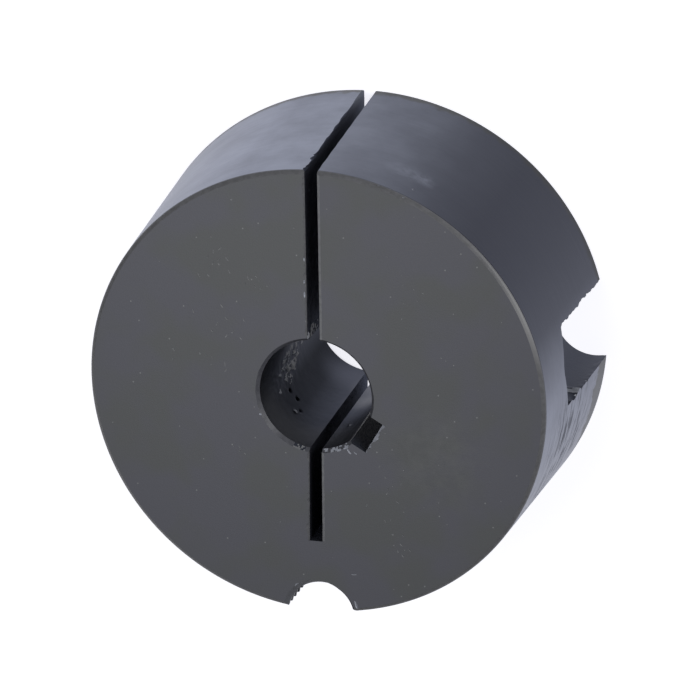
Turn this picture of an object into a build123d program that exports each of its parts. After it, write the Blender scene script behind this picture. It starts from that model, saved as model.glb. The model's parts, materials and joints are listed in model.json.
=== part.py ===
"""Split taper bush, for holding a pulley or sprocket hub on a 16 mm keyed shaft.

One cast-iron piece: a cone with an 8 degree included taper, sawn right through on
one side and part way on the other, so that it closes on the shaft as the hub
is drawn up it. Half of each screw hole is in the bush and half in the hub.

Origin on the bore axis in the large face, +Z towards the small face, and the
through cut along +Y. Millimetres.
"""

import os
from math import radians, tan

from build123d import *

os.makedirs("parts", exist_ok=True)

# Cone
length = 31.75  # large face to small face, along the bore
large_dia = 69.85  # of the sharp cone, in the large face
taper_angle = 8.0  # included, in degrees
rim_chamfer = 0.55  # on both outer rims

# Bore and keyway
bore_dia = 16.0
bore_chamfer = 0.5  # on both mouths
key_width = 5.0
key_depth = 2.3  # floor of the keyway below the bore wall
key_angle = 120.5  # clockwise from the through cut, seen on the small face
key_offset = 0.5  # the broach ran this far to the clockwise side

# Saw cuts
cut_width = 1.8
hinge_web = 6.45  # left between the end of the relief cut and the jacking hole

# Screw holes, shared with the hub
screw_circle_dia = 66.4
jack_core_dia = 9.9  # drilled for the 7/16 in jacking thread, right through
pocket_dia = 11.8  # plain, clears a 7/16 in screw
pocket_depth = 20.3  # at full diameter, from the large face
drill_point = 144.0  # included angle of the pocket's blind end, in degrees
drill_chisel = 1.2  # flat that the drill's chisel edge leaves at the point
pocket_spread = 84.7  # each pocket's angle from the through cut

# What follows from them
small_dia = large_dia - 2 * length * tan(radians(taper_angle / 2))
hinge_end = screw_circle_dia / 2 - jack_core_dia / 2 - hinge_web
point_height = (pocket_dia - drill_chisel) / 2 / tan(radians(drill_point / 2))

with BuildPart() as taper_bush:
    # The cone, turned between its two faces.
    with BuildSketch(Plane.XZ):
        with BuildLine():
            Polyline(
                (0, 0),
                (large_dia / 2, 0),
                (small_dia / 2, length),
                (0, length),
                close=True,
            )
        make_face()
    revolve(axis=Axis.Z)
    chamfer(taper_bush.edges().filter_by(GeomType.CIRCLE), rim_chamfer)

    # The bore, with both mouths broken.
    Hole(bore_dia / 2)
    mouths = taper_bush.edges(Select.LAST).filter_by(GeomType.CIRCLE)
    chamfer(mouths, bore_chamfer)

    # The keyway, broached the whole length of the bore.
    with BuildSketch(Plane.XY.rotated((0, 0, 90 - key_angle))):
        with Locations((0, -key_offset)):
            Rectangle(
                bore_dia / 2 + key_depth,
                key_width,
                align=(Align.MIN, Align.CENTER),
            )
    extrude(amount=length, mode=Mode.SUBTRACT)

    # The through cut on +Y, and the relief cut on -Y that leaves the hinge web.
    with BuildSketch(Plane.XY):
        Rectangle(cut_width, large_dia, align=(Align.CENTER, Align.MIN))
        Rectangle(cut_width, hinge_end, align=(Align.CENTER, Align.MAX))
    extrude(amount=length, mode=Mode.SUBTRACT)

    # The jacking half hole, at its thread's core, opposite the through cut.
    with Locations((0, -screw_circle_dia / 2, 0)):
        Hole(jack_core_dia / 2)

    # The two plain pockets, drilled from the large face.
    with PolarLocations(
        screw_circle_dia / 2,
        2,
        start_angle=90 - pocket_spread,
        angular_range=2 * pocket_spread,
        endpoint=True,
    ):
        Cylinder(
            pocket_dia / 2,
            pocket_depth,
            align=(Align.CENTER, Align.CENTER, Align.MIN),
            mode=Mode.SUBTRACT,
        )
        with Locations((0, 0, pocket_depth)):
            Cone(
                pocket_dia / 2,
                drill_chisel / 2,
                point_height,
                align=(Align.CENTER, Align.CENTER, Align.MIN),
                mode=Mode.SUBTRACT,
            )

taper_bush.part.label = "taper_bush"
export_step(taper_bush.part, "parts/taper_bush.step")
print("small_dia", round(small_dia, 3), "hinge_end", round(hinge_end, 3))
print("volume", round(taper_bush.part.volume), "solids", len(taper_bush.part.solids()))
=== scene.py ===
# %% [markdown]
# # A split taper bush, dressed for its portrait
# The bush is one iron casting, turned to an 8 degree taper, bored, keyed, sawn through on
# one side and sawn part way on the other, then blackened. The solid model already holds
# its true form. This lesson rebuilds its skin with the marks the tools left: broken
# rims, a real thread, torn edges and burrs, each with a finish of its own. The solid
# model is loaded first, and its size is noted, so the skin can be measured against it.

import json
import random
from math import atan2, cos, degrees, exp, hypot, pi, radians, sin, tan

import bpy
from mathutils import Matrix, Vector, noise


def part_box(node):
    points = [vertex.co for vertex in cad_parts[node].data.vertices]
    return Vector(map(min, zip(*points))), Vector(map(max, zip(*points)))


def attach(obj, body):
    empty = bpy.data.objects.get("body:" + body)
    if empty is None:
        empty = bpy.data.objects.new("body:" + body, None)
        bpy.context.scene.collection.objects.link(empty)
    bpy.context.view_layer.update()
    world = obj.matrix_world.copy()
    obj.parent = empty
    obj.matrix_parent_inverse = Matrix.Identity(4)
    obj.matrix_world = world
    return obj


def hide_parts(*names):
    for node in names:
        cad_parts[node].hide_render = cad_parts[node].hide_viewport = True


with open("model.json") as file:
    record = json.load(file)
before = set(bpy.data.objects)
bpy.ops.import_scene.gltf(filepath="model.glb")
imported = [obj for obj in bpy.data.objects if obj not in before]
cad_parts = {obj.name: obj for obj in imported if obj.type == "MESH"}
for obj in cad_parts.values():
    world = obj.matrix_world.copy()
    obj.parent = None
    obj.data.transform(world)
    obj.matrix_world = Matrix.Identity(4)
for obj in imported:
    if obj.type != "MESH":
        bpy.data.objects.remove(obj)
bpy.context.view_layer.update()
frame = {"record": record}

# %% [markdown]
# ## Sizes of the bush
# Every shape below is worked out in millimetres and turned into metres when its mesh is
# made, because drill and thread sizes are read that way. The length and the bore come
# from the solid model itself, so the skin can't drift away from it. Heights count up
# from the large face, which lies on the floor, to the small face on top.

# %% Sizes in millimetres
MM = 0.001
low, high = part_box("taper_bush")
length = (high.z - low.z) / MM
bore_mount = next(m for m in frame["record"]["mounts"] if m["kind"] == "bore")
reamed_radius = bore_mount["dims"]["r_mm"]
large_radius = 34.925
half_taper = 4.0
rim_break = 0.55


def cone_radius(z):
    """Radius of the turned cone at a height."""
    return large_radius - z * tan(radians(half_taper))


print("length", round(length, 3), "reamed radius", reamed_radius)
print("small end radius", round(cone_radius(length), 3))

# %% [markdown]
# ## One shader node at a time
# A finish is a small tree of shader nodes. It could be joined up by hand in the shader
# editor, but a script can be read and run again. Writing a node out takes four lines, so
# one helper makes a node, sets its choices and its numbers, and joins its inputs. An
# input called i0, i1 and so on is told by its place, for nodes that use a name twice.

# %% Make one shader node
def add_node(tree, kind, choices=None, **inputs):
    """A new node. An input is a number, a colour, or the output of another node."""
    made = tree.nodes.new("ShaderNode" + kind)
    for key, value in (choices or {}).items():
        setattr(made, key, value)
    for key, value in inputs.items():
        by_place = key[0] == "i" and key[1:].isdigit()
        socket = made.inputs[int(key[1:]) if by_place else key.replace("_", " ")]
        if isinstance(value, bpy.types.NodeSocket):
            tree.links.new(value, socket)
        else:
            socket.default_value = value
    return made


def reckon(tree, operation, *values, clamp=False):
    """One sum, such as MULTIPLY or MAXIMUM, on numbers or on outputs of other nodes."""
    choices = {"operation": operation, "use_clamp": clamp}
    places = {f"i{n}": value for n, value in enumerate(values)}
    return add_node(tree, "Math", choices, **places).outputs[0]


# %% [markdown]
# ## Starting a finish
# Every finish begins alike: a new material, its shader, and the place of each point of
# the surface in millimetres, so that the sizes below read like tool marks. The marks are
# made of noise in the bush's own space. Pictures could be wrapped round it instead, but
# they would need a seam on the cone and would stretch where the cuts go deep.

# %% Start a finish, and measure its surface
def start_finish(name):
    """A new material, its shader and the surface position in millimetres."""
    made = bpy.data.materials.new(name)
    made.use_nodes = True
    tree = made.node_tree
    shader = tree.nodes["Principled BSDF"]
    place = add_node(tree, "TexCoord").outputs["Object"]
    scaled = add_node(tree, "VectorMath", {"operation": "SCALE"}, Vector=place, Scale=1 / MM)
    return made, tree, shader, scaled.outputs["Vector"]


def mottle(tree, place, scale, detail, roughness):
    """Soft cloudy variation from 0 to 1, about 1/scale millimetres across."""
    cloud = add_node(tree, "TexNoise", Vector=place, Scale=scale, Detail=detail, Roughness=roughness)
    return cloud.outputs["Fac"]


def spread(tree, amount, start, end):
    """Maps 0 to 1 onto start to end, in a straight line."""
    return add_node(tree, "MapRange", Value=amount, To_Min=start, To_Max=end).outputs["Result"]


def fade(tree, value, start, end):
    """0 where the value is at the start, 1 where it is at the end, and soft between."""
    soft = {"interpolation_type": "SMOOTHSTEP"}
    return add_node(tree, "MapRange", soft, Value=value, From_Min=start, From_Max=end).outputs["Result"]


# %% [markdown]
# ## Colour and relief
# The bath that blackens iron doesn't take evenly, so no surface here has one flat
# colour. A ramp turns an amount into a colour, one colour can be laid over another where
# an amount says so, and a fine grain changes the sheen and raises a relief. Grain this
# small would take millions of faces as a mesh, and a bump in the shader costs nothing.

# %% Blend colours, lay them over each other and raise a grain
def blend_colours(tree, amount, stops):
    """A colour ramp: stops are (position, (r, g, b))."""
    ramp = add_node(tree, "ValToRGB", Fac=amount)
    elements = ramp.color_ramp.elements
    while len(elements) < len(stops):
        elements.new(0.5)
    for element, (position, colour) in zip(elements, stops):
        element.position = position
        element.color = (*colour, 1.0)
    return ramp.outputs["Color"]


def lay_over(tree, amount, under, over):
    """The colour under, with the colour over laid on it by an amount from 0 to 1."""
    return add_node(tree, "Mix", {"data_type": "RGBA"}, i0=amount, i6=under, i7=over).outputs[2]


def raise_bumps(tree, shader, height, distance):
    """Gives the shader's normal a bump of that height in millimetres."""
    bump = add_node(tree, "Bump", Height=height, Distance=distance * MM, Strength=1.0)
    tree.links.new(bump.outputs["Normal"], shader.inputs["Normal"])


def dress(tree, shader, colour, grain, roughness, relief):
    """Gives the shader its colour, and a grain with its range of roughness and its relief."""
    tree.links.new(colour, shader.inputs["Base Color"])
    tree.links.new(spread(tree, grain, *roughness), shader.inputs["Roughness"])
    raise_bumps(tree, shader, grain, relief)


# %% [markdown]
# ## Specks and patches
# Tiny bare specks lie all over the blackened faces, and wear comes in soft patches. They
# could be painted on one by one. Here specks sit in the middle of random cells, of which
# only a share gets one, and a patch is the distance from its middle, faded softly.

# %% Sprinkle specks and lay down patches
def sprinkle(tree, place, spacing, size, share):
    """1 on small specks, one in every spacing millimetres, on a share of the places."""
    cells = add_node(tree, "TexVoronoi", Vector=place, Scale=1 / spacing).outputs
    near = reckon(tree, "LESS_THAN", cells["Distance"], size / spacing)
    pick = add_node(tree, "SeparateColor", Color=cells["Color"]).outputs[0]
    return reckon(tree, "MULTIPLY", near, reckon(tree, "LESS_THAN", pick, share))


def smudge(tree, place, centre, reach):
    """A soft round patch: 1 at its centre, 0 at its reach, both in millimetres."""
    away = add_node(tree, "VectorMath", {"operation": "DISTANCE"}, i0=place, i1=centre)
    return fade(tree, away.outputs["Value"], reach, 0.0)


def lay_patches(tree, place, patches, under, over):
    """The colour under, with the colour over laid on it in each (centre, reach) patch."""
    for centre, reach in patches:
        under = lay_over(tree, smudge(tree, place, centre, reach), under, over)
    return under


# %% [markdown]
# ## The blackened faces
# Both ends were faced in the lathe and then blackened in a hot bath. The skin is matte
# and nearly neutral, with bluish clouds where the bath took more strongly, a very fine
# grain and tiny bare specks. On the right it is rubbed a little paler. A rough
# dielectric over dark iron oxide behaves the same, so the shader is not metallic here.

# %% Finish of the end faces
RUBBED_ON_THE_FACE = ((17.0, -8.0, length), 11.0)
RUBBED_SKIN = (0.092, 0.095, 0.098, 1.0)
BARE_SPECK = (0.15, 0.155, 0.16, 1.0)


def blackened_face():
    made, tree, shader, place = start_finish("blackened_face")
    clouds = mottle(tree, place, 0.11, 2.0, 0.45)
    tones = [(0.42, (0.0715, 0.0745, 0.0780)), (0.58, (0.0730, 0.0745, 0.0880))]
    colour = blend_colours(tree, clouds, tones)
    broken_up = spread(tree, mottle(tree, place, 0.55, 3.0, 0.6), -0.9, 1.3)
    rubbing = smudge(tree, place, *RUBBED_ON_THE_FACE)
    rubbed = reckon(tree, "MULTIPLY", rubbing, broken_up, clamp=True)
    colour = lay_over(tree, rubbed, colour, RUBBED_SKIN)
    specks = sprinkle(tree, place, spacing=1.1, size=0.11, share=0.16)
    colour = lay_over(tree, specks, colour, BARE_SPECK)
    dress(tree, shader, colour, mottle(tree, place, 5.0, 6.0, 0.65), (0.48, 0.66), 0.025)
    shader.inputs["Specular IOR Level"].default_value = 0.3
    return made


face_finish = blackened_face()
print("finish", face_finish.name)

# %% [markdown]
# ## Patterns that run round the bush
# A lathe works round the axis, and so do its marks: fine grooves at every turn. Light
# and shade round the cone and the bore are painted the same way, as a colour that is
# paler or darker by the direction from the axis. To stretch noise into rings it is read
# at a place made of the direction from the axis, nearly still, and the height, running
# fast. How pale the painted light is comes from a short list of angles with a share for
# each, which is easier to set than lamps that would have to do the same.

# %% Patterns told by the direction from the axis
def round_the_axis(tree, place, slow, fast):
    """A place for noise that runs round the axis: slow round it, fast along it."""
    parts = add_node(tree, "SeparateXYZ", Vector=place).outputs
    flat = add_node(tree, "CombineXYZ", X=parts["X"], Y=parts["Y"]).outputs["Vector"]
    outwards = add_node(tree, "VectorMath", {"operation": "NORMALIZE"}, Vector=flat).outputs[0]
    around = add_node(tree, "VectorMath", {"operation": "SCALE"}, Vector=outwards, Scale=slow)
    up = add_node(tree, "CombineXYZ", Z=reckon(tree, "MULTIPLY", parts["Z"], fast))
    both = add_node(tree, "VectorMath", {"operation": "ADD"}, i0=around.outputs[0], i1=up.outputs[0])
    return both.outputs[0]


def painted_light_round(tree, place, stops):
    """How pale the painted light is, from 0 for painted shade to 1 for painted light. A stop is an angle
    round the axis and a share.
    """
    parts = add_node(tree, "SeparateXYZ", Vector=place).outputs
    angle = reckon(tree, "ARCTAN2", parts["Y"], parts["X"])
    turned = add_node(tree, "MapRange", Value=angle, From_Min=-pi, From_Max=pi).outputs["Result"]
    return blend_colours(tree, turned, [((a + 180) / 360, (t, t, t)) for a, t in stops])


# %% [markdown]
# ## Streaks and scores on the cone
# All round the cone the skin is faintly streaked along the turning. Beside the right
# pocket, on the side away from the split, it is scored as well, in short bites that
# follow the streaks, as a hub leaves them. Each score could be cut into the mesh, but
# there are hundreds. So one ripple does both: it is weak everywhere, and strong inside
# the scored places.

# %% Streaks all round, and scores in places
SCORED_PLACES = [((30.5, -9.5, 17.0), 14.0), ((26.5, -19.5, 23.0), 12.0)]


def streaks_and_bites(tree, place):
    """Streaks to multiply the skin by, and bites, which are below 0 where a score is."""
    near, further = (smudge(tree, place, centre, reach) for centre, reach in SCORED_PLACES)
    scored = reckon(tree, "MAXIMUM", near, further)
    scores = mottle(tree, round_the_axis(tree, place, 7.0, 1.3), 1.0, 5.0, 0.62)
    ripple = reckon(tree, "SUBTRACT", scores, 0.5)
    clouds = spread(tree, mottle(tree, place, 0.13, 5.0, 0.6), 0.3, 1.7)
    streaks = reckon(tree, "MULTIPLY_ADD", ripple, spread(tree, scored, 0.25, 2.5), clouds)
    return streaks, reckon(tree, "MULTIPLY", ripple, scored)


# %% [markdown]
# ## The scuffs and the grey foot of the cone
# Right of the split and not far under the small face, three small scuffs lie close
# together. At its foot the cone has a narrow grey band with a ragged upper edge, which
# climbs higher beside the right pocket. A second material would give the band a hard
# edge, so it is an amount from 0 to 1, which changes colour and sheen together.

# %% Scuffs and the grey foot
SCUFFS = [((11.6, 31.1, 24.5), 3.2), ((9.9, 31.7, 24.2), 2.2), ((14.1, 30.2, 24.4), 2.4)]
SCUFFED_SKIN = (0.105, 0.112, 0.135, 1.0)
CLIMBING_PLACE = ((34.0, -7.0, 1.0), 12.0)


def scuffed(tree, place, colour):
    """The colour, with the scuffs laid over it."""
    broken_up = spread(tree, mottle(tree, place, 0.8, 3.0, 0.6), -0.6, 1.6)
    for centre, reach in SCUFFS:
        worn = reckon(tree, "MULTIPLY", smudge(tree, place, centre, reach), broken_up, clamp=True)
        colour = lay_over(tree, worn, colour, SCUFFED_SKIN)
    return colour


def grey_foot(tree, place):
    """1 on the grey foot of the cone, 0 above its ragged edge."""
    height = add_node(tree, "SeparateXYZ", Vector=place).outputs["Z"]
    ragged = spread(tree, mottle(tree, place, 0.5, 4.0, 0.65), -2.0, 1.4)
    height = reckon(tree, "ADD", height, ragged)
    climbing = smudge(tree, place, *CLIMBING_PLACE)
    lowered = spread(tree, mottle(tree, place, 0.45, 4.0, 0.65), 6.0, -16.0)
    height = reckon(tree, "MULTIPLY_ADD", climbing, lowered, height)
    return fade(tree, height, 1.9, 0.7)


# %% [markdown]
# ## The turned cone
# Here the cone's parts come together. Seen along the surface, blackened iron shines like
# a dull mirror, so this finish is metallic. Its dark colour is the skin, painted darker
# or paler round the axis as painted shade and painted reflection. The bites of the
# scores are told mostly by a coarser sheen, because a colour that shows well along the
# surface would be far too strong when it is seen straight on.

# %% Finish of the cone
# Painted light and shade round the cone: painted shade from 18 to 48 degrees, where the cone mirrors the
# floor in the bush's shadow, and a painted reflection of the bright floor elsewhere, paler left of the
# split than right of it.
LIGHT_AND_SHADE_ROUND_THE_CONE = [
    (-180, 0.45),
    (-60, 0.45),
    (-30, 0.30),
    (-20, 0.45),
    (-8, 0.56),
    (0, 0.60),
    (10, 0.28),
    (18, 0.0),
    (48, 0.0),
    (60, 0.09),
    (72, 0.31),
    (89.5, 0.50),
    (90.5, 0.86),
    (115, 0.82),
    (140, 0.60),
    (180, 0.45),
]
CONE_TONES = [(0.0, (0.011, 0.012, 0.017)), (1.0, (0.169, 0.182, 0.216))]
FOOT_TONES = [(0.0, (0.022, 0.022, 0.020)), (1.0, (0.120, 0.122, 0.116))]
DEEPEST_BITE = -0.08


def turned_cone():
    made, tree, shader, place = start_finish("turned_cone")
    streaks, bites = streaks_and_bites(tree, place)
    bitten = add_node(tree, "MapRange", Value=bites, From_Min=0.0, From_Max=DEEPEST_BITE).outputs["Result"]
    foot = grey_foot(tree, place)
    painted_light = painted_light_round(tree, place, LIGHT_AND_SHADE_ROUND_THE_CONE)
    streaked = reckon(tree, "MULTIPLY", painted_light, streaks)
    colour = scuffed(tree, place, blend_colours(tree, streaked, CONE_TONES))
    colour = lay_over(tree, foot, colour, blend_colours(tree, streaked, FOOT_TONES))
    tree.links.new(colour, shader.inputs["Base Color"])
    sheen = reckon(tree, "MULTIPLY", spread(tree, bitten, 1.0, 0.65), spread(tree, foot, 1.0, 0.7))
    tree.links.new(sheen, shader.inputs["Metallic"])
    grooves = mottle(tree, round_the_axis(tree, place, 6.0, 2.2), 1.0, 4.0, 0.6)
    coarse = reckon(tree, "MAXIMUM", bitten, spread(tree, foot, 0.0, 0.35))
    roughness = reckon(tree, "MULTIPLY_ADD", coarse, 0.30, spread(tree, grooves, 0.29, 0.37))
    tree.links.new(roughness, shader.inputs["Roughness"])
    raise_bumps(tree, shader, reckon(tree, "MULTIPLY_ADD", bites, 14.0, grooves), 0.004)
    shader.inputs["Specular IOR Level"].default_value = 0.2
    shader.inputs["Specular Tint"].default_value = (0.90, 0.92, 1.0, 1.0)
    return made


cone_finish = turned_cone()
print("finish", cone_finish.name)

# %% [markdown]
# ## The holes, the cuts and the bare edges
# Inside the holes and cuts the bath left a darker, coarser skin. Where the iron tore,
# the metal shows paler. The paler filed edges of the saw cuts are a painted highlight,
# and the darker ragged edges and the dark mouth of the tapped hole are painted shade.
# These finishes differ only in tone, grain and sheen. A material made by hand for each
# would repeat the same nodes nine times, so one helper mixes them all.

# %% Plainer finishes for the holes, cuts and edges
LIGHTER_GRAIN = 1.35
NO_TINT = (1.0, 1.0, 1.0)
BLUISH_TINT = (0.84, 0.87, 1.0)


def dark_wall(name, colour, roughness=0.45, scale=2.0, relief=0.02, gloss=0.4, metallic=0.0, tint=NO_TINT):
    """A plain dark finish with a little grain. Its relief is in millimetres."""
    made, tree, shader, place = start_finish(name)
    grain = mottle(tree, place, scale, 5.0, 0.6)
    lighter = tuple(c * LIGHTER_GRAIN for c in colour)
    tone = blend_colours(tree, grain, [(0.35, colour), (0.65, lighter)])
    dress(tree, shader, tone, grain, (roughness - 0.06, roughness + 0.08), relief)
    shader.inputs["Specular IOR Level"].default_value = gloss
    shader.inputs["Specular Tint"].default_value = (*tint, 1.0)
    shader.inputs["Metallic"].default_value = metallic
    print("finish", name)
    return made


mouth_finish = dark_wall("bore_mouth", (0.043, 0.044, 0.052))
keyway_finish = dark_wall("broached_keyway", (0.010, 0.012, 0.019), 0.60, 1.6, 0.03, 0.3)
hole_finish = dark_wall("tapped_hole", (0.056, 0.058, 0.066), 0.40, 1.5, 0.03)
pocket_finish = dark_wall(
    "drilled_pocket", (0.020, 0.023, 0.033), scale=1.5, gloss=0.2, metallic=0.5, tint=BLUISH_TINT
)
torn_finish = dark_wall("torn_metal", (0.19, 0.20, 0.23), scale=3.0, relief=0.05)
# The filed saw edges are made paler as a painted highlight; the same finish covers chips at the bore's
# mouth.
pale_edge_and_highlight_finish = dark_wall("pale_edge_and_painted_highlight", (0.105, 0.107, 0.114), relief=0.01)
scratch_finish = dark_wall("fresh_scratch", (0.093, 0.096, 0.102), relief=0.01)
# The ragged saw edges are made darker as painted shade.
ragged_edge_shade_finish = dark_wall("ragged_edge", (0.052, 0.053, 0.058), 0.55, relief=0.03)
# The tapped hole's mouth is nearly black as painted shade along its lip.
jack_mouth_shade_finish = dark_wall("tapped_mouth_painted_shade", (0.016, 0.017, 0.018), 0.60, gloss=0.2)

# %% [markdown]
# ## The turned rim
# The rims of both ends were broken with the tool's corner. Two soft painted highlights
# make them paler, over a broad stretch on the left of the small face and a short one on
# the right. A brighter material for part of the rim would end in a hard line, so two
# soft patches lighten one material instead.

# %% Finish of the turned rims
# Painted highlights on the rim: a broad one on the left and a short one on the right.
PAINTED_HIGHLIGHTS_ON_THE_RIM = [((-28.0, -16.0, length), 30.0), ((29.5, 13.0, length), 9.0)]
PAINTED_RIM_HIGHLIGHT = (0.140, 0.140, 0.145, 1.0)


def turned_rim():
    made, tree, shader, place = start_finish("turned_rim")
    grain = mottle(tree, place, 1.5, 5.0, 0.6)
    colour = blend_colours(tree, grain, [(0.35, (0.068, 0.069, 0.074)), (0.65, (0.090, 0.091, 0.098))])
    colour = lay_patches(tree, place, PAINTED_HIGHLIGHTS_ON_THE_RIM, colour, PAINTED_RIM_HIGHLIGHT)
    dress(tree, shader, colour, grain, (0.36, 0.46), 0.01)
    shader.inputs["Specular IOR Level"].default_value = 0.4
    return made


rim_finish = turned_rim()
print("finish", rim_finish.name)

# %% [markdown]
# ## The bored wall
# The bored wall has the same black metal sheen as the cone's. Its colour is painted paler
# or darker by the angle round the axis, as painted light and shade: palest between the
# relief cut and the keyway, darkest beyond the relief cut. Some patches between the
# relief cut and the keyway are painted paler still, as painted highlights, and under the
# small face the left side is dulled by a little grey dust.

# %% Finish of the bored wall
# Painted light and shade round the bore, by angle: pale where the wall catches the light, dark where it is
# in shade.
LIGHT_AND_SHADE_ROUND_THE_BORE = [
    (-180, 0.30),
    (-165, 0.20),
    (-152, 0.02),
    (-138, 0.08),
    (-128, 0.14),
    (-118, 0.36),
    (-103, 0.62),
    (-80, 0.95),
    (-68, 1.00),
    (-30, 0.45),
    (60, 0.40),
    (120, 0.35),
    (150, 0.30),
    (180, 0.30),
]
BORE_TONES = [(0.0, (0.010, 0.0105, 0.012)), (1.0, (0.086, 0.093, 0.118))]
RUBBED_IN_THE_BORE = [((-1.7, -7.9, 4.0), 7.0)]
# Painted highlights on the bore wall, where light falls in beside the relief cut.
PAINTED_HIGHLIGHTS_IN_THE_BORE = [((3.1, -7.4, 7.0), 5.5), ((3.0, -7.4, 13.0), 4.8), ((3.1, -7.4, 28.5), 8.0)]
DUST_IN_THE_BORE = [((-4.6, -6.6, 30.0), 8.5), ((-8.0, -1.0, 31.5), 8.0)]
RUBBED_IRON = (0.085, 0.090, 0.112, 1.0)
PAINTED_BORE_HIGHLIGHT = (0.215, 0.219, 0.235, 1.0)
GREY_DUST = (0.060, 0.061, 0.063, 1.0)


def bored_wall():
    made, tree, shader, place = start_finish("bored_wall")
    grain = mottle(tree, place, 1.2, 5.0, 0.6)
    painted_light = painted_light_round(tree, place, LIGHT_AND_SHADE_ROUND_THE_BORE)
    painted_light = reckon(tree, "MULTIPLY", painted_light, spread(tree, grain, 0.5, 1.5))
    colour = blend_colours(tree, painted_light, BORE_TONES)
    colour = lay_patches(tree, place, RUBBED_IN_THE_BORE, colour, RUBBED_IRON)
    colour = lay_patches(tree, place, PAINTED_HIGHLIGHTS_IN_THE_BORE, colour, PAINTED_BORE_HIGHLIGHT)
    colour = lay_patches(tree, place, DUST_IN_THE_BORE, colour, GREY_DUST)
    dress(tree, shader, colour, grain, (0.34, 0.44), 0.015)
    shader.inputs["Metallic"].default_value = 1.0
    shader.inputs["Specular Tint"].default_value = (0.59, 0.60, 0.63, 1.0)
    return made


bore_finish = bored_wall()
print("finish", bore_finish.name)

# %% [markdown]
# ## The sawn walls
# The saw cuts are the darkest places on the bush. Deep in them, towards the large face,
# the walls turn a bluish grey, and the last corner of the through cut, by the large face
# and the cone, is paler still. Three fades along the height and the cut's depth tell
# this in one finish, with no line between the parts.

# %% Finish of the sawn walls
LOWER_WALL_TONE = (0.056, 0.059, 0.076, 1.0)
PALE_CORNER_TONE = (0.10, 0.105, 0.12, 1.0)


def sawn_wall():
    made, tree, shader, place = start_finish("sawn_wall")
    grain = mottle(tree, place, 2.5, 5.0, 0.6)
    colour = blend_colours(tree, grain, [(0.35, (0.015, 0.016, 0.020)), (0.65, (0.022, 0.023, 0.031))])
    parts = add_node(tree, "SeparateXYZ", Vector=place).outputs
    colour = lay_over(tree, fade(tree, parts["Z"], 15.0, 2.0), colour, LOWER_WALL_TONE)
    foot = fade(tree, parts["Z"], 8.5, 2.5)
    outside = fade(tree, parts["Y"], 26.0, 32.0)
    colour = lay_over(tree, reckon(tree, "MULTIPLY", foot, outside), colour, PALE_CORNER_TONE)
    tree.links.new(colour, shader.inputs["Base Color"])
    raise_bumps(tree, shader, grain, 0.05)
    shader.inputs["Roughness"].default_value = 0.6
    shader.inputs["Metallic"].default_value = 0.5
    shader.inputs["Specular IOR Level"].default_value = 0.1
    shader.inputs["Specular Tint"].default_value = (0.66, 0.74, 1.0, 1.0)
    return made


sawn_finish = sawn_wall()
print("finish", sawn_finish.name)

# %% [markdown]
# ## A body from rings
# A turned part is a stack of rings. It could be spun from a profile, but the same helper
# is wanted for the drill, the saw blades and the broach, whose outlines aren't round.
# So it takes a list of heights and a function that gives the outline at each height,
# joins each ring to the next, and closes the stack with a cap at each end.

# %% A closed body from rings of points
def solid_from(name, finish, points, faces):
    """A new object from points in millimetres, all of one finish."""
    mesh = bpy.data.meshes.new(name)
    mesh.from_pydata([tuple(v * MM for v in point) for point in points], [], faces)
    mesh.materials.append(finish)
    made = bpy.data.objects.new(name, mesh)
    bpy.context.scene.collection.objects.link(made)
    print(name, len(faces), "faces")
    return made


def ringed_body(name, finish, heights, outline):
    """A closed body with one ring per height. Rings run anticlockwise seen from above."""
    points = [(x, y, z) for z in heights for x, y in outline(z)]
    around = len(points) // len(heights)
    faces = []
    for first in range(0, len(points) - around, around):
        for i in range(around):
            a = first + i
            b = first + (i + 1) % around
            faces.append((a, b, b + around, a + around))
    faces.append(tuple(reversed(range(around))))
    faces.append(tuple(range(len(points) - around, len(points))))
    return solid_from(name, finish, points, faces)


def steps(start, end, count):
    """Evenly spaced values from start to end, both included."""
    return [start + (end - start) * i / (count - 1) for i in range(count)]


def circle(radius, count):
    """Points on a circle round the axis."""
    return [
        (radius * cos(2 * pi * i / count), radius * sin(2 * pi * i / count))
        for i in range(count)
    ]


# %% [markdown]
# ## The blank
# The blank is the bush before anything is cut from it: a plain cone whose rims the
# lathe tool has broken. Each rim is a straight chamfer with a slight bulge, so its rings
# lie close together. Everything else is then cut from this body, as it was in the shop.

# %% Turn the blank, with its rims broken
BLANK_POINTS = 360
RIM_ROUND = 0.12
RIM_SHARES = (0.0, 0.05, 0.12, 0.2, 0.3, 0.4, 0.5, 0.6, 0.7, 0.8, 0.88, 0.95, 1.0)
UNDER_THE_RIM = [0.60, 0.75, 1.1]


def rim_inset(depth):
    """How far the rim stands in from the cone, at a depth under the face."""
    if depth >= rim_break:
        return 0.0
    share = depth / rim_break
    return rim_break * (1 - share) - RIM_ROUND * sin(pi * share)


def blank_ring(z):
    return circle(cone_radius(z) - rim_inset(min(z, length - z)), BLANK_POINTS)


rim_depths = [rim_break * share for share in RIM_SHARES] + UNDER_THE_RIM
blank_heights = rim_depths + steps(4.0, length - 4.0, 7)
blank_heights += [length - d for d in reversed(rim_depths)]
blank = ringed_body("taper_bush_skin", face_finish, blank_heights, blank_ring)

# %% [markdown]
# ## Rough iron
# Torn iron, chipped edges and wavy saw cuts all need a lumpy number that comes out the
# same whenever it is asked for at the same place. Random draws would jump from point to
# point, so fractal noise is used, which is smooth when seen close. Marks round the bore
# are placed by an angle, so turns are also measured here, the short way round.

# %% Noise in millimetres, and turns between angles
NOISE_OCTAVES = 4


def rough(x, y, z, scale):
    """Rough noise between about -1 and 1, with lumps of 1/scale millimetres."""
    return noise.fractal(Vector((x, y, z)) * scale, 1.0, 2.0, NOISE_OCTAVES)


def turn_between(angle, other):
    """The turn from one angle to another, in degrees from -180 to 180."""
    return (angle - other + 180) % 360 - 180


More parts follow.
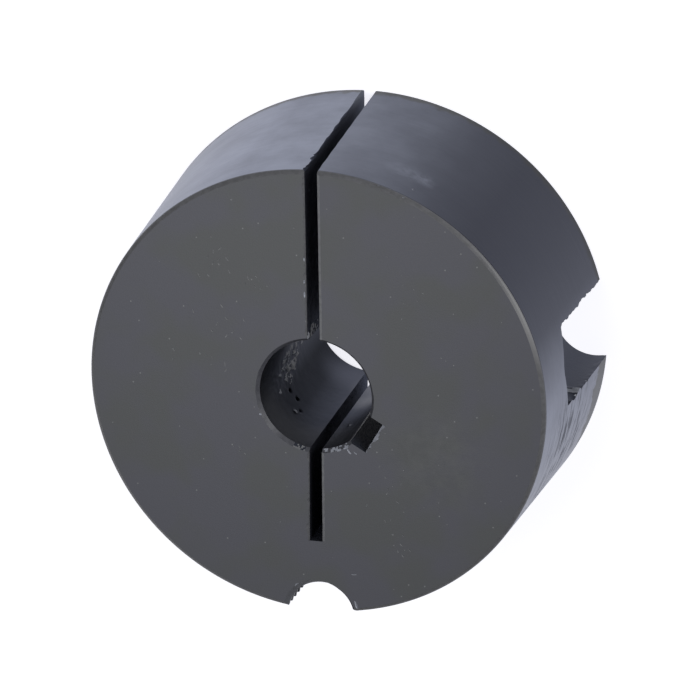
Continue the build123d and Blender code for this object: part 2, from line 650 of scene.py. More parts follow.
print("rough at the small face's middle:", round(rough(0.0, 0.0, length, 1.0), 3))

# %% [markdown]
# ## The torn stretch and the marks in the bore
# On one stretch of the bore's wall the reamer tore the iron, and the tear leans a little
# round the axis as it climbs. Beside it lie three pits and a fleck, and another fleck
# lies a quarter turn away. They could be cut one by one with small cutters. It is
# simpler to let them change the bore cutter's own radius, as a worn tool would.

# %% Where the bore's wall is torn, pitted and flecked
BORE_SPRING = 0.06
TORN_ANGLE = 186
TORN_LEAN = 1.2
TORN_CROSSING = 14.7
TORN_MIDDLE = 16.5
TORN_ACROSS = 13.0
TORN_ALONG = 6.0
BORE_PITS = [(211.3, 20.3, 0.40, 0.5), (222.6, 20.0, 0.45, 0.6), (232.8, 22.1, 0.35, 0.4)]
BORE_FLECKS = [(228.7, 23.2, 0.45, 0.3), (288.4, 22.8, 0.30, 0.2)]
bore_radius = reamed_radius + BORE_SPRING


def torn_share(angle, z):
    """1 in the middle of the torn stretch, falling softly to 0."""
    middle = TORN_ANGLE + TORN_LEAN * (z - TORN_CROSSING)
    across = turn_between(angle, middle) / TORN_ACROSS
    along = (z - TORN_MIDDLE) / TORN_ALONG
    return exp(-(across**2) - along**2)


def torn_depth(angle, z):
    """How far the torn iron is gouged, up to about 1, or stands out, down to about -1."""
    x = cos(radians(angle)) * bore_radius
    y = sin(radians(angle)) * bore_radius
    return torn_share(angle, z) * rough(x, y, 0.5 * z, 1.5)


def bore_mark(angle, z, place_angle, place_z, size):
    """1 at the middle of a small mark on the bore wall, falling to 0 over its size."""
    across = radians(turn_between(angle, place_angle)) * bore_radius
    return exp(-(across**2 + (z - place_z) ** 2) / (size / 2) ** 2)


print("bore radius", round(bore_radius, 3), "pits", len(BORE_PITS), "flecks", len(BORE_FLECKS))

# %% [markdown]
# ## The bore
# The bore is drilled and reamed to size. Sawn through, the bush has sprung open a hair,
# so the bore now measures a little over its reamed size. Its mouths are broken with a
# hand scraper, which never cuts quite evenly. The wall has enough rings in its middle to
# carry the tear and the pits, and few near its ends, where it is plain.

# %% Cut the bore
BORE_POINTS = 240
WALL_WAVE = 0.012
TORN_GOUGE = 0.20
MOUTH_DEPTH = 0.60
MOUTH_WIDTH = 0.44
MOUTH_WAVE = 0.10


def bore_wall(angle, z):
    """The cutter's radius at an angle and a height."""
    depth = min(z, length - z)
    x = bore_radius * cos(radians(angle))
    y = bore_radius * sin(radians(angle))
    radius = bore_radius + WALL_WAVE * rough(x, y, z, 0.5)
    if depth < MOUTH_DEPTH:
        radius += MOUTH_WIDTH * (1 - depth / MOUTH_DEPTH) * (1 + MOUTH_WAVE * rough(x, y, z, 1.0))
    radius += TORN_GOUGE * torn_depth(angle, z)
    for place_angle, place_z, size, gouge in BORE_PITS:
        radius += gouge * bore_mark(angle, z, place_angle, place_z, size)
    for place_angle, place_z, size, lump in BORE_FLECKS:
        radius -= lump * bore_mark(angle, z, place_angle, place_z, size)
    return radius


def bore_ring(z):
    ring = []
    for i in range(BORE_POINTS):
        angle = 360 * i / BORE_POINTS
        radius = bore_wall(angle, z)
        ring.append((radius * cos(radians(angle)), radius * sin(radians(angle))))
    return ring


mouth_depths = [-0.3, 0.0, 0.2, 0.4, MOUTH_DEPTH]
bore_heights = mouth_depths + steps(2.0, 8.0, 4) + steps(9.0, 27.0, 61) + steps(28.0, 30.5, 3)
bore_heights += [length - d for d in reversed(mouth_depths)]
bore_cutter = ringed_body("bore_cutter", bore_finish, bore_heights, bore_ring)

# %% [markdown]
# ## The keyway
# A broach is pulled through the bore and leaves a flat-floored slot. It ran half a
# millimetre off the centre line. The floor's edge tore out as it left each face, more on
# one corner than on the other, and both corners with the bore are broken with a file.
# A box would give the slot but not the torn edge, so the slot is a ringed body too.

# %% Cut the keyway
KEY_DIRECTION = -30.5
KEY_WIDTH = 5.0
KEY_FLOOR = 10.1
KEY_OFFSET = -0.5
KEY_FLARE = 0.3
KEY_FLARE_DEPTH = 0.06
CORNER_REACH = 0.10
CORNER_BREAK = 0.3
KEY_TEAR = 0.40


def corner_break(along, side):
    """How far a side stands back near the bore, where its corner is broken."""
    corner = (bore_radius**2 - side**2) ** 0.5
    return min(CORNER_BREAK, max(0.0, corner + CORNER_REACH - along))


def torn_floor(v, z):
    """How far the floor is torn back at a place across it, close to a face."""
    depth = min(z, length - z)
    upper = 0.5 + 0.5 * (v - KEY_OFFSET) / (KEY_WIDTH / 2)
    torn = max(0.0, KEY_TEAR - depth) * (0.35 + 1.0 * upper + 0.8 * rough(v, z, 3.0, 1.3))
    return max(0.0, torn)


def keyway_ring(z):
    flare = KEY_FLARE * max(0.0, KEY_FLARE_DEPTH - min(z, length - z))
    low_side = KEY_OFFSET - KEY_WIDTH / 2
    high_side = KEY_OFFSET + KEY_WIDTH / 2
    reach = steps(4.0, 7.2, 2) + steps(7.3, 8.0, 8) + steps(8.5, KEY_FLOOR, 4)
    sides = reach[:-1]
    loop = [(u, low_side - (flare + corner_break(u, low_side))) for u in sides]
    loop += [(KEY_FLOOR + torn_floor(v, z), v) for v in steps(low_side - flare, high_side + flare, 32)]
    loop += [(u, high_side + (flare + corner_break(u, high_side))) for u in reversed(sides)]
    turned = Matrix.Rotation(radians(KEY_DIRECTION), 2)
    return [tuple(turned @ Vector(point)) for point in loop]


key_heights = [-0.3, 0.0, 0.15, KEY_TEAR] + steps(2.0, 29.5, 12)
key_heights += [length - d for d in (KEY_TEAR, 0.2, 0.1, 0.0, -0.2)]
keyway_cutter = ringed_body("keyway_cutter", keyway_finish, key_heights, keyway_ring)

# %% [markdown]
# ## The edges of the saw cuts
# Where a saw cut meets a face it was treated in two ways: the right edge was filed to a
# narrow slope, and the left one was left ragged where the teeth came out. The filed
# edge is coloured paler as a painted highlight, the ragged one darker as painted shade.
# A bevel would give both the same clean edge. So each wall of the cutter stands further
# out close to a face, by an even amount on the right and by a rough one on the left.

# %% How far the sawn edges stand back
PAST_FACE = 0.1
FILED_WIDTH = 0.34
FILED_DEPTH = 0.09
EXIT_WIDTH = 0.05
EXIT_DEPTH = 0.1
RAGGED_WIDTH = 0.24
RAGGED_DEPTH = 0.13
LEAST_CHIP = 0.4
CHIP_SHIFT = 0.4
ROUGH_CHIP = 1.5


def edge_share(depth, reach):
    """1 at an edge and 0 at its reach inside. Outside it grows, up to PAST_FACE away."""
    return max(0.0, 1 - max(depth, -PAST_FACE) / reach)


def filed_edge(depth, exits):
    """A filed edge at the faces, and a finer one where the cut leaves the cone."""
    breaks = [EXIT_WIDTH * edge_share(e, EXIT_DEPTH) for e in exits]
    return max([FILED_WIDTH * edge_share(depth, FILED_DEPTH)] + breaks)


def ragged_edge(y, z, depth, exits):
    """An edge with chips along it, at the faces and where the cut leaves the cone."""
    chip = max(0.0, CHIP_SHIFT + ROUGH_CHIP * rough(-7.0, y, z, 1.4))
    return RAGGED_WIDTH * (LEAST_CHIP + chip) * edge_share(min([depth] + exits), RAGGED_DEPTH)


print("filed edge on a face", round(filed_edge(0.0, []), 3), "mm wide")

# %% [markdown]
# ## The saw cuts
# A slitting saw opens the bush right through on one side, and on the other side runs
# from the bore to a flat end, leaving a web that lets the bush close on its shaft. The
# blade wandered, so its walls are not quite flat, and the relief cut drifts to the left
# and widens a little towards its end. Points lie closest where the through cut leaves
# the cone near the large face, so that the small chips on that edge come out.

# %% Cut the through cut and the relief cut
CUT_WIDTH = 1.8
SAW_WAVE = 0.02
CUT_START = 5.0
RELIEF_END = 21.9
LEFT_DRIFT = 0.014
RIGHT_DRIFT = 0.0076


def cut_wall(side, y, z, exits):
    """Distance of a sawn wall from the cut's middle. The side is 1 on the right."""
    depth = min(z, length - z)
    edge = filed_edge(depth, exits) if side > 0 else ragged_edge(y, z, depth, exits)
    return CUT_WIDTH / 2 + SAW_WAVE * rough(side * 3.0, y, z, 0.6) + edge


def split_ring(z):
    along = steps(CUT_START, 34.0, 100) + steps(34.1, 36.5, 25)
    right = [(cut_wall(1, y, z, [cone_radius(z) - y]), y) for y in along]
    left = [(-cut_wall(-1, y, z, [cone_radius(z) - y]), y) for y in reversed(along)]
    return right + left


def relief_ring(z):
    along = steps(-RELIEF_END, -CUT_START, 68)
    right = [(cut_wall(1, y, z, []) + RIGHT_DRIFT * (y + bore_radius), y) for y in along]
    left = [(-cut_wall(-1, y, z, []) + LEFT_DRIFT * (y + bore_radius), y) for y in along]
    return right + list(reversed(left))


edge_depths = [-0.15, 0.0, 0.045, FILED_DEPTH, RAGGED_DEPTH, 0.5]
cut_heights = edge_depths + steps(1.5, 24.0, 16) + steps(25.0, length - 1.0, 16)
cut_heights += [length - d for d in reversed(edge_depths)]
split_cutter = ringed_body("split_cutter", sawn_finish, cut_heights, split_ring)
relief_cutter = ringed_body("relief_cutter", sawn_finish, cut_heights, relief_ring)

# %% [markdown]
# ## The jacking thread
# The half hole beside the web is tapped, so that a screw in it can push the bush out of
# its hub. A stack of plain rings would look right at a glance, but a real thread climbs.
# So this cutter is a true helix: every column of points has the corners of the thread's
# section, turn above turn, and stands a little higher than the column before it.

# %% The thread's section and its points
THREAD_CREST = 4.78
THREAD_ROOT = 5.5
THREAD_PITCH = 25.4 / 14
THREAD_SECTION = [(0.0, THREAD_CREST), (0.26, THREAD_CREST), (0.57, THREAD_ROOT), (0.69, THREAD_ROOT)]
THREAD_COLUMNS = 72
TURNS_BELOW = 2.5
SPARE_TURNS = 5
SECTION_CORNERS = len(THREAD_SECTION)
THREAD_ROWS = (int(length / THREAD_PITCH) + SPARE_TURNS) * SECTION_CORNERS + 1


def thread_points(centre):
    """Columns of points round the centre, each a little higher than the one before."""
    points = []
    for column in range(THREAD_COLUMNS):
        angle = 2 * pi * column / THREAD_COLUMNS
        for row in range(THREAD_ROWS):
            share, radius = THREAD_SECTION[row % SECTION_CORNERS]
            climb = row // SECTION_CORNERS + share + column / THREAD_COLUMNS - TURNS_BELOW
            x = centre[0] + radius * cos(angle)
            y = centre[1] + radius * sin(angle)
            points.append((x, y, climb * THREAD_PITCH))
    return points


print("thread of", (THREAD_ROWS - 1) // SECTION_CORNERS, "turns,", round(THREAD_PITCH, 3), "mm each")

# %% [markdown]
# ## The skin of the thread
# The points are joined column by column. At the seam the last column meets the first a
# whole turn higher, which a plain grid of faces can't do, so the faces are listed here.
# The ends step up by one turn as well, and a fan round a point on the axis closes each.

# %% The thread's faces
def thread_walls():
    """Faces from each column to the next, and from the last to the first, a turn up."""
    faces = []
    for column in range(THREAD_COLUMNS):
        last = column == THREAD_COLUMNS - 1
        for row in range(THREAD_ROWS - 1 - (SECTION_CORNERS if last else 0)):
            a = column * THREAD_ROWS + row
            b = (row + SECTION_CORNERS) if last else a + THREAD_ROWS
            faces.append((a, b, b + 1, a + 1))
    return faces


def thread_caps(foot, head):
    """Fans that close both ends round a point on the axis, foot below and head above."""
    bottom = [column * THREAD_ROWS for column in range(THREAD_COLUMNS)]
    bottom += list(range(SECTION_CORNERS, 0, -1))
    top = [column * THREAD_ROWS + THREAD_ROWS - 1 for column in range(THREAD_COLUMNS)]
    top += [THREAD_COLUMNS * THREAD_ROWS - 1 - row for row in range(1, SECTION_CORNERS + 1)]
    faces = [(a, foot, bottom[(i + 1) % len(bottom)]) for i, a in enumerate(bottom)]
    return faces + [(a, top[(i + 1) % len(top)], head) for i, a in enumerate(top)]


# %% [markdown]
# ## The threaded half hole and its mouth
# At the small face the hole's mouth was touched with a countersink that ran off its
# centre. That cut is only a fifth of a millimetre deep and wider towards +X. Its finish is
# nearly black, as painted shade, so it shows as a fine dark edge along the lip. It is a
# cutter of its own, so that it can have its own finish.

# %% Cut the threaded half hole
JACK_CENTRE = (0.25, -33.3)
JACK_BREAK = 0.20
JACK_MOUTH_POINTS = 96
MOUTH_STEP = 0.12
MOUTH_STEP_SIDEWAYS = 0.33


def jack_mouth_ring(z):
    """The edge break at the small face: a shallow cone that opens upwards, wider to +X."""
    open_share = 1 - (length - z) / JACK_BREAK
    loop = []
    for x, y in circle(1.0, JACK_MOUTH_POINTS):
        radius = THREAD_CREST + open_share * (MOUTH_STEP + MOUTH_STEP_SIDEWAYS * max(0.0, x) ** 0.5)
        loop.append((JACK_CENTRE[0] + radius * x, JACK_CENTRE[1] + radius * y))
    return loop


tap_points = thread_points(JACK_CENTRE)
tap_foot = len(tap_points)
tap_points += [(*JACK_CENTRE, tap_points[0][2]), (*JACK_CENTRE, tap_points[-1][2])]
tap_faces = thread_walls() + thread_caps(tap_foot, tap_foot + 1)
jack_cutter = solid_from("jack_cutter", hole_finish, tap_points, tap_faces)
jack_mouth_heights = [length - JACK_BREAK, length, length + 0.1]
jack_mouth_cutter = ringed_body("jack_mouth_cutter", jack_mouth_shade_finish, jack_mouth_heights, jack_mouth_ring)

# %% [markdown]
# ## The screw pockets
# Two plain half holes take the screws that pull the bush in. They are drilled from the
# large face and stop in the metal, with the drill's point at the end. The drill broke
# out of the cone sideways, so the lips are chipped, more on the side of the split. On
# the other side of the right pocket a torn ledge was left, with a chip above it. A plain
# cylinder would have clean lips, so the drill's outline is worked out point by point.

# %% The drill's outline
SCREW_CIRCLE = 33.2
POCKET_POINTS = 128
POCKET_RADIUS = 5.9
POCKET_DEPTH = 20.3
POCKET_SPREAD = 84.7
DRILL_POINT = 72.0
CHISEL_RADIUS = 0.6
LIP_CHIP = 0.35
LIP_REACH = 0.5
LOWER_LIP = 0.45
LEDGE = 0.48
LEDGE_HEIGHT = 14.4
CHIP = 0.45
CHIP_HEIGHT = 16.9


def pocket_radius(z):
    if z <= POCKET_DEPTH:
        return POCKET_RADIUS
    return max(CHISEL_RADIUS, POCKET_RADIUS - (z - POCKET_DEPTH) * tan(radians(DRILL_POINT)))


def lip_chips(x, y, z, inside, lower):
    """How far the wall is chipped back near a lip. Inside is the depth under the cone."""
    near_lip = exp(-((inside / LIP_REACH) ** 2)) * (LOWER_LIP if lower else 1.0)
    return LIP_CHIP * near_lip * rough(x, y, z, 0.8) * min(1.0, pocket_radius(z) / 3)


def ledge_and_chip(z, inside):
    """The ledge stands into the right pocket, and the chip above it lies back."""
    ledge = LEDGE * exp(-(((z - LEDGE_HEIGHT) / 0.6) ** 2) - (inside / 2.5) ** 2)
    chip = CHIP * exp(-(((z - CHIP_HEIGHT) / 0.9) ** 2) - (inside / 0.7) ** 2)
    return ledge, chip


print("a pocket's lip is chipped up to", LIP_CHIP, "mm, its ledge stands out", LEDGE, "mm")

# %% [markdown]
# ## Drilling the pockets
# The pockets lie on the screw circle, the same way round from the split on both sides,
# so one function makes the outline for either. The rings stand half a millimetre or less
# apart, which is what the torn ledge and the chips of the lips need.

# %% Cut the two pockets
def pocket_ring(side):
    """The outline function of one pocket. The side is 1 on the right, -1 on the left."""
    middle = 90.0 - side * POCKET_SPREAD
    centre = (SCREW_CIRCLE * cos(radians(middle)), SCREW_CIRCLE * sin(radians(middle)))

    def ring(z):
        loop = []
        for i in range(POCKET_POINTS):
            angle = 2 * pi * i / POCKET_POINTS
            radius = pocket_radius(z)
            x = centre[0] + radius * cos(angle)
            y = centre[1] + radius * sin(angle)
            inside = cone_radius(z) - hypot(x, y)
            radius += lip_chips(x, y, z, inside, y <= centre[1])
            if y < centre[1] and side > 0:
                ledge, chip = ledge_and_chip(z, inside)
                radius -= ledge
                radius += chip
            loop.append((centre[0] + radius * cos(angle), centre[1] + radius * sin(angle)))
        return loop

    return ring


point_height = (POCKET_RADIUS - CHISEL_RADIUS) / tan(radians(DRILL_POINT))
pocket_heights = [-0.3] + steps(0.0, POCKET_DEPTH, 62)
pocket_heights += steps(POCKET_DEPTH + 0.2, POCKET_DEPTH + point_height, 6)
right_pocket = ringed_body("right_pocket_cutter", pocket_finish, pocket_heights, pocket_ring(1))
left_pocket = ringed_body("left_pocket_cutter", pocket_finish, pocket_heights, pocket_ring(-1))

# %% [markdown]
# ## Nicks and chips
# Each scratch or chip is one small shallow lens with a ragged outline, cut from the
# surface like everything else. A bump in the shader could fake them, but an edge with a
# real chip also looks chipped from the side. A hundred small cutters would be slow, so
# many lenses are put into one mesh and cut away in one go.

# %% Lens-shaped nicks
NICK_CORNERS = 8
NICK_RAGGED = 0.35


def lens_points(centre, size, turn):
    """A tip above and below, and a ring of ragged points, in millimetres."""
    x, y, z = centre
    long, wide, deep = size
    points = [(x, y, z - deep), (x, y, z + deep)]
    for i in range(NICK_CORNERS):
        angle = 2 * pi * i / NICK_CORNERS
        ragged = 1 + NICK_RAGGED * rough(x + i, y, z, 1.7)
        u = long * cos(angle) * ragged
        v = wide * sin(angle) * ragged
        points.append((x + u * cos(turn) - v * sin(turn), y + u * sin(turn) + v * cos(turn), z))
    return points


def nick_cutter(name, finish, nicks):
    """All the nicks as one cutter. A nick is (centre, (long, wide, deep), turn)."""
    points = []
    faces = []
    for centre, size, turn in nicks:
        first = len(points)
        points += lens_points(centre, size, turn)
        for i in range(NICK_CORNERS):
            a = first + 2 + i
            b = first + 2 + (i + 1) % NICK_CORNERS
            faces += [(first, b, a), (first + 1, a, b)]
    return solid_from(name, finish, points, faces)


# %% [markdown]
# ## The scratches on the small face
# The loose scratches come from rubbing against other bushes in a bin. They lie in
# clusters round a few places on the small face, and most of them point one of three
# ways. Placing each by hand would take long and look even, so a repeatable random draw
# spreads them, and one that would touch a scratch already there is left out.

# %% Scatter the scratches
SCRATCHED_PLACES = [
    ((-13.4, 18.4), 2.6, 26, 0.38),
    ((-8.5, 15.5), 2.0, 10, 0.34),
    ((-14.0, 7.0), 6.0, 18, 0.36),
    ((12.6, -21.6), 1.8, 12, 0.30),
    ((10.0, -14.5), 4.0, 12, 0.30),
    ((14.0, 15.0), 5.0, 8, 0.20),
    ((-11.5, -9.6), 1.6, 5, 0.25),
]
SCRATCH_WAYS = (60, 100, 130)
SCRATCH_GAP = 1.35
SCRATCH_SEED = 4
SINGLE_NICKS = [(18.1, 7.2), (17.7, -14.3), (12.7, -9.9), (-2.5, 24.4)]
SINGLE_NICKS += [(11.0, -19.8), (-11.3, 27.8), (9.1, 9.9)]
SINGLE_SIZE = (0.14, 0.11, 0.06)
SINGLE_TURN = 0.4
SINGLE_GAP = 1.0


def scatter_scratches(draw):
    """A cluster is (middle, reach, count, longest), a scratch (centre, size, turn)."""
    taken = []
    nicks = []
    for middle, reach, count, longest in SCRATCHED_PLACES:
        for _ in range(count):
            x = middle[0] + draw.gauss(0, reach / 2)
            y = middle[1] + draw.gauss(0, reach / 2)
            long = longest * draw.uniform(0.4, 1.0)
            turn = radians(draw.choice(SCRATCH_WAYS) + draw.uniform(-15, 15))
            size = (long, draw.uniform(0.06, 0.10), draw.uniform(0.04, 0.09))
            if all(hypot(x - a, y - b) > SCRATCH_GAP * (long + other) for a, b, other in taken):
                taken.append((x, y, long))
                nicks.append(((x, y, length), size, turn))
    for x, y in SINGLE_NICKS:
        if all(hypot(x - a, y - b) > SINGLE_GAP for a, b, _ in taken):
            nicks.append(((x, y, length), SINGLE_SIZE, SINGLE_TURN))
    return nicks


small_face_nicks = scatter_scratches(random.Random(SCRATCH_SEED))
print(len(small_face_nicks), "scratches and nicks on the small face")
scratches = nick_cutter("scratches", scratch_finish, small_face_nicks)

# %% [markdown]
# ## Chips at the mouths and lips
# These chips have their places: torn corners at the keyway, flecks of bare iron along
# the left edge of the through cut, dents at the mouths of the bore and the jacking hole,
# at the rim and along the lips of the right pocket. The first at the jacking hole is a
# painted highlight, a bright arc on the right of its lip. They are few and each matters
# to the look of its edge, so they are listed one by one, with middle, half sizes and turn.

# %% Chip the mouths and lips
KEYWAY_CHIPS = [
    ((4.40, -7.35, length), (0.42, 0.20, 0.20), radians(30)),
    ((4.85, -7.85, length), (0.50, 0.12, 0.10), radians(-55)),
    ((3.45, -7.80, length), (0.40, 0.12, 0.12), radians(24)),
    ((5.75, -8.0, length), (0.30, 0.06, 0.05), radians(-40)),
]
SPLIT_CHIPS = [
    ((-1.10, 20.0, length), (0.12, 0.34, 0.16), 0.0),
    ((-1.15, 16.7, length), (0.12, 0.30, 0.14), 0.0),
    ((-1.15, 14.8, length), (0.14, 0.42, 0.16), 0.0),
    ((-0.95, 29.2, 29.45), (0.14, 0.20, 0.22), 0.0),
]
BORE_CHIPS = [
    ((-7.85, -3.4, length), (0.22, 0.16, 0.15), 0.0),
]
JACK_CHIPS_AND_HIGHLIGHT = [
    # A painted highlight: a bright arc on the right of the hole's lip.
    ((5.62, -31.30, length), (0.95, 0.16, 0.18), radians(106)),
    ((-3.05, -28.95, length), (0.40, 0.22, 0.15), radians(35)),
    ((-3.75, -30.3, length), (0.35, 0.20, 0.15), radians(60)),
    ((5.3, -26.5, length), (0.45, 0.05, 0.04), radians(3)),
]
POCKET_CHIPS = [
    ((33.95, -2.85, 10.3), (0.35, 0.28, 0.30), 0.0),
    ((33.75, -2.90, 13.4), (0.28, 0.28, 0.28), 0.0),
    ((33.60, -2.85, 15.9), (0.38, 0.30, 0.36), 0.0),
    ((33.15, 9.15, 7.1), (0.35, 0.35, 0.35), 0.0),
]
RIM_CHIPS = [
    ((13.5, 30.05, 28.5), (0.24, 0.24, 0.26), 0.0),
    ((12.9, 29.8, 31.5), (0.22, 0.12, 0.14), radians(-24)),
    ((9.4, 31.2, 31.4), (0.16, 0.12, 0.12), 0.0),
]
chips = KEYWAY_CHIPS + SPLIT_CHIPS + BORE_CHIPS + JACK_CHIPS_AND_HIGHLIGHT + POCKET_CHIPS + RIM_CHIPS
torn_nicks = nick_cutter("torn_nicks", torn_finish, chips)

# %% [markdown]
# ## Cutting the blank
# Each cutter is taken away from the blank by a boolean modifier. New walls keep the
# finish of the tool that cut them, so the bore, the saw cuts and the thread are told
# apart without picking faces by hand. The result is baked down to one plain mesh, since
# the bush is one piece, and the cutters are thrown away.

# %% Take every cutter away from the blank
def cut_away(body, cutters):
    for cutter in cutters:
        cut = body.modifiers.new(cutter.name, "BOOLEAN")
        cut.operation = "DIFFERENCE"
        cut.solver = "MANIFOLD"
        cut.material_mode = "TRANSFER"
        cut.object = cutter
    bpy.context.view_layer.update()
    solved = body.evaluated_get(bpy.context.evaluated_depsgraph_get())
    mesh = bpy.data.meshes.new_from_object(solved)
    body.modifiers.clear()
    body.data = mesh
    for cutter in cutters:
        bpy.data.objects.remove(cutter)
    print(body.name, len(mesh.vertices), "points", len(mesh.polygons), "faces")
    print([m.name for m in mesh.materials])


bore_and_cuts = [bore_cutter, keyway_cutter, split_cutter, relief_cutter]
screw_holes = [jack_cutter, jack_mouth_cutter, right_pocket, left_pocket]
cut_away(blank, bore_and_cuts + screw_holes + [scratches, torn_nicks])

# %% [markdown]
# ## Which finish goes where
# The boolean leaves the cone, the rims and the end faces in the blank's one finish, and
# every edge in the finish of its cutter. What a face is can be read from how it leans
# and where it lies: steep faces of the blank are the cone, slanting ones the rim. The
# bore's mouth is burred by the keyway and chipped beside the relief cut.

# %% Choose the finish at the mouths and the cuts
CONE_TILT = 0.4
RIM_TILT = 0.97
MOUTH_TILT = 0.3
EDGE_TILT = 0.25
BURR_ANGLE = -70.0
BURR_REACH = 15.0
CHIPPED_ANGLE = -106.0
CHIPPED_REACH = 6.0
FLECKED_FROM = 7.6
FLECKED_TO = 9.6
FLECKED_ABOVE = 26.0


def mouth_choice(x, y, z):
    """The bore's mouth: chipped on one stretch, burred on another, plain elsewhere."""
    angle = degrees(atan2(y, x))
    if z > length / 2 and abs(turn_between(angle, CHIPPED_ANGLE)) < CHIPPED_REACH:
        return pale_edge_and_highlight_finish if rough(x, y, z, 2.2) > 0 else keyway_finish
    burred = abs(turn_between(angle, BURR_ANGLE)) < BURR_REACH
    return torn_finish if burred and rough(x, y, z, 1.6) > 0 else mouth_finish


def keyway_choice(tilt, x, y, z):
    """The keyway: torn at the faces, and as pale as the bore's mouth along its corners."""
    if tilt > MOUTH_TILT:
        return torn_finish
    at_corner = hypot(x, y) < bore_radius + 0.12 and min(z, length - z) > 0.1
    return mouth_finish if at_corner else keyway_finish


def cut_choice(normal, x, y, z):
    """A saw cut: its filed right edge paler as a painted highlight, its ragged left edge darker as painted
    shade, with flecks near the bore.
    """
    if abs(normal.z) > EDGE_TILT:
        return pale_edge_and_highlight_finish if normal.x < 0 else ragged_edge_shade_finish
    flecked = x < 0 and FLECKED_FROM < y < FLECKED_TO and z > FLECKED_ABOVE
    return torn_finish if flecked and rough(x, y, z, 1.1) > 0.05 else sawn_finish


print("burr over", 2 * BURR_REACH, "degrees, chips over", 2 * CHIPPED_REACH, "degrees")

# %% [markdown]
# ## The rest of the choices
# In the bore, torn iron that stands out far enough is rubbed bare, and so are the flecks.
# In the right pocket the top of the ledge is bare. Everything else keeps the finish of
# its cutter. One function asks these questions in turn for one small face.

# %% Choose the finish of one face
TORN_LIMIT = -0.10
FLECK_LIMIT = 0.3
LEDGE_REACH = 0.8
LEDGE_TILT = 0.15


def is_torn(x, y, z):
    """True where torn iron stands out from the bore wall, and on the wall's flecks."""
    angle = degrees(atan2(y, x))
    if torn_depth(angle, z) < TORN_LIMIT:
        return True
    return any(bore_mark(angle, z, a, h, size) > FLECK_LIMIT for a, h, size, _ in BORE_FLECKS)


def choose_finish(cut_by, normal, x, y, z):
    """The finish of one small face, by the tool that cut it and the way it looks."""
    tilt = abs(normal.z)
    if cut_by == face_finish and tilt < CONE_TILT:
        return cone_finish
    if cut_by == face_finish and tilt < RIM_TILT:
        return rim_finish
    if cut_by == bore_finish and min(z, length - z) < MOUTH_DEPTH and tilt > MOUTH_TILT:
        return mouth_choice(x, y, z)
    if cut_by == bore_finish and is_torn(x, y, z):
        return torn_finish
    if cut_by == keyway_finish:
        return keyway_choice(tilt, x, y, z)
    if cut_by == sawn_finish:
        return cut_choice(normal, x, y, z)
    on_ledge = y < 0 and abs(z - LEDGE_HEIGHT) < LEDGE_REACH and normal.z > LEDGE_TILT
    return torn_finish if cut_by == pocket_finish and on_ledge else cut_by


print("torn iron is bare where its depth is under", TORN_LIMIT)

# %% [markdown]
# ## Sorting the finishes
# Now each small face gets the finish that was chosen for it. Faces that meet at a slight
# angle are shaded as one smooth surface, and corners sharper than 28 degrees stay crisp,
# as the lathe and the saw left them. Flat shading on the end faces keeps them flat
# beside the rounded rims.

# %% Give every face its finish
ALL_FINISHES = [face_finish, cone_finish, rim_finish, bore_finish, mouth_finish, keyway_finish]
ALL_FINISHES += [sawn_finish, hole_finish, pocket_finish, torn_finish, pale_edge_and_highlight_finish, ragged_edge_shade_finish]
ALL_FINISHES += [scratch_finish, jack_mouth_shade_finish]
SHARP_CORNER = 28
FLAT_TILT = 0.999


def finish_index(mesh, finish):
    """The finish's number on the mesh, which is added if it isn't there yet."""
    names = [m.name for m in mesh.materials]
    if finish.name not in names:
        mesh.materials.append(finish)
        names.append(finish.name)
    return names.index(finish.name)


def sort_finishes(mesh):
    index = {finish.name: finish_index(mesh, finish) for finish in ALL_FINISHES}
    cut_by = {number: bpy.data.materials[name] for name, number in index.items()}
    for polygon in mesh.polygons:
        x, y, z = polygon.center / MM
        chosen = choose_finish(cut_by[polygon.material_index], polygon.normal, x, y, z)
        polygon.material_index = index[chosen.name]
    mesh.set_sharp_from_angle(angle=radians(SHARP_CORNER))
    mesh.shade_smooth()
    for polygon in mesh.polygons:
        if abs(polygon.normal.z) > FLAT_TILT:
            polygon.use_smooth = False


sort_finishes(blank.data)
bush = blank
bush.name = "taper_bush_skin"
print("finishes", len(bush.data.materials))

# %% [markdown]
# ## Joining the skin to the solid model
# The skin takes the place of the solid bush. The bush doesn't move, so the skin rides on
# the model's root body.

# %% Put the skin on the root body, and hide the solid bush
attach(bush, "root")
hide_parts("taper_bush")
print("triangles", sum(len(p.vertices) - 2 for p in bush.data.polygons))

# %% [markdown]
# ## The floor
# The bush stands on a wide sheet of white paper. A plain white floor under these lamps
# would come out grey, and a shiny surface would mirror that grey. So the paper glows a
# little for the eye and for mirrored light, and is plain paper for all other light, so
# that it neither lights the bush from below too strongly nor loses its soft shadow.

# %% The floor
FLOOR_HALF = 3.0
FLOOR_LEVEL = -0.0001


def paper_finish():
    paper = bpy.data.materials.new("pale_paper")
    paper.use_nodes = True
    tree = paper.node_tree
    tree.nodes.clear()
    path = add_node(tree, "LightPath").outputs
    seen = reckon(tree, "MAXIMUM", path["Is Camera Ray"], path["Is Glossy Ray"])
    seen = reckon(tree, "MAXIMUM", seen, path["Is Transmission Ray"])
    plain = add_node(tree, "BsdfDiffuse", Color=(0.75, 0.75, 0.75, 1))
    shaded = add_node(tree, "BsdfDiffuse", Color=(0.50, 0.50, 0.50, 1))
    glow = add_node(tree, "Emission", Color=(0.79, 0.79, 0.84, 1), Strength=1.0)
    both = add_node(tree, "AddShader", i0=shaded.outputs[0], i1=glow.outputs[0])
    mix = add_node(tree, "MixShader", i0=seen, i1=plain.outputs[0], i2=both.outputs[0])
    add_node(tree, "OutputMaterial", Surface=mix.outputs[0])
    return paper


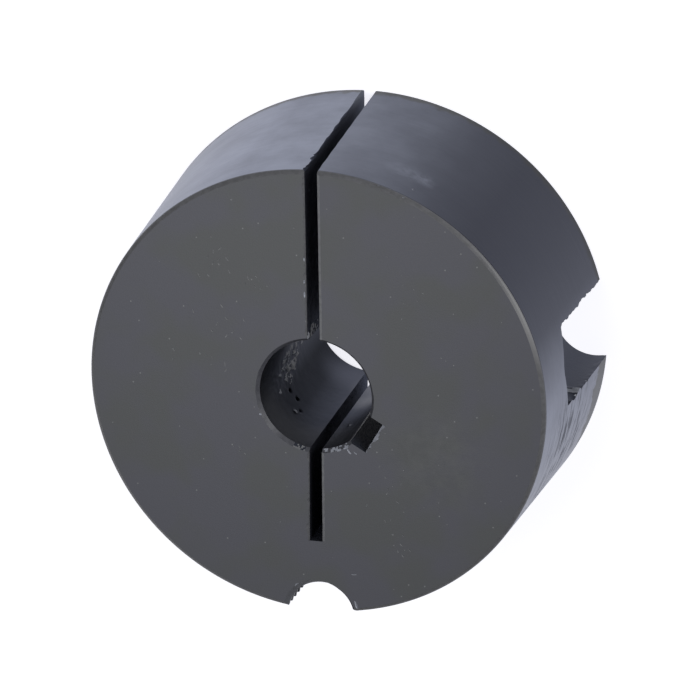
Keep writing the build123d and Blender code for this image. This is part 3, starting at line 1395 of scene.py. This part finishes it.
def pale_floor():
    mesh = bpy.data.meshes.new("floor")
    ends = [(-1, -1), (1, -1), (1, 1), (-1, 1)]
    corner_points = [(x * FLOOR_HALF, y * FLOOR_HALF, FLOOR_LEVEL) for x, y in ends]
    mesh.from_pydata(corner_points, [], [(0, 1, 2, 3)])
    mesh.materials.append(paper_finish())
    made = bpy.data.objects.new("floor", mesh)
    bpy.context.scene.collection.objects.link(made)
    print("floor", 2 * FLOOR_HALF, "m wide")


pale_floor()

# %% [markdown]
# ## The lamps
# A dark object on white is shaped by soft lamps that are large beside it. One hangs
# close above the bush and gives the small face its grey, and a wide one stands off to
# the right and lights the cone from that side. Lamps without size would draw hard glints
# and hard shadows instead. A dim, slightly bluish sky fills what neither of them reaches.

# %% The lamps and the sky
SKY_COLOUR = (0.86, 0.87, 0.90, 1)
SKY_STRENGTH = 0.22


def lamp(name, azimuth, elevation, distance, size, power):
    """A soft round lamp aimed at the middle of the bush. Azimuth 0 is +X, 90 is +Y."""
    light = bpy.data.lights.new(name, "AREA")
    light.shape = "DISK"
    light.size = size
    light.energy = power
    made = bpy.data.objects.new(name, light)
    turn = radians(azimuth)
    flat = cos(radians(elevation))
    towards = Vector((flat * cos(turn), flat * sin(turn), sin(radians(elevation))))
    middle = Vector((0, 0, length * MM / 2))
    made.location = middle + towards * distance
    made.visible_camera = False
    made.rotation_euler = towards.to_track_quat("Z", "Y").to_euler()
    bpy.context.scene.collection.objects.link(made)
    print(name, distance, "m away,", size, "m across")


lamp("top_softbox", azimuth=132, elevation=76, distance=0.142, size=0.10, power=0.110)
lamp("rim_softbox", azimuth=24, elevation=24, distance=0.9, size=0.55, power=4.9)

world = bpy.data.worlds.new("studio")
bpy.context.scene.world = world
world.use_nodes = True
sky = world.node_tree.nodes["Background"]
sky.inputs["Color"].default_value = SKY_COLOUR
sky.inputs["Strength"].default_value = SKY_STRENGTH

# %% [markdown]
# ## The camera
# The camera looks down on the small face from the side of the split and of the right
# pocket, so that both show on the cone. A long lens from over half a metre keeps the
# circles nearly true. A camera can be aimed at a point, but this one is also turned a
# little about its own line of sight, so its three directions are written out.

# %% The camera
CAMERA_LENS = 192.83
CAMERA_SENSOR = 36.0
CAMERA_PLACE = (0.1339566, 0.1900137, 0.4958040)
CAMERA_RIGHT = Vector((0.9648651, -0.0134577, -0.2624011))
CAMERA_UP = Vector((-0.0809674, 0.9348572, -0.3456679))
CAMERA_BACK = Vector((0.2499594, 0.3547688, 0.9009214))

camera_data = bpy.data.cameras.new("camera")
camera_data.lens = CAMERA_LENS
camera_data.sensor_width = CAMERA_SENSOR
camera_data.clip_start = 0.01
camera_data.clip_end = 20.0
camera = bpy.data.objects.new("camera", camera_data)
bpy.context.scene.collection.objects.link(camera)
camera_turn = Matrix((CAMERA_RIGHT, CAMERA_UP, CAMERA_BACK)).transposed().to_4x4()
camera.matrix_world = Matrix.Translation(CAMERA_PLACE) @ camera_turn
bpy.context.scene.camera = camera
bpy.context.scene.view_settings.view_transform = "Standard"
print("camera", round(Vector(CAMERA_PLACE).length, 3), "m from the bush")
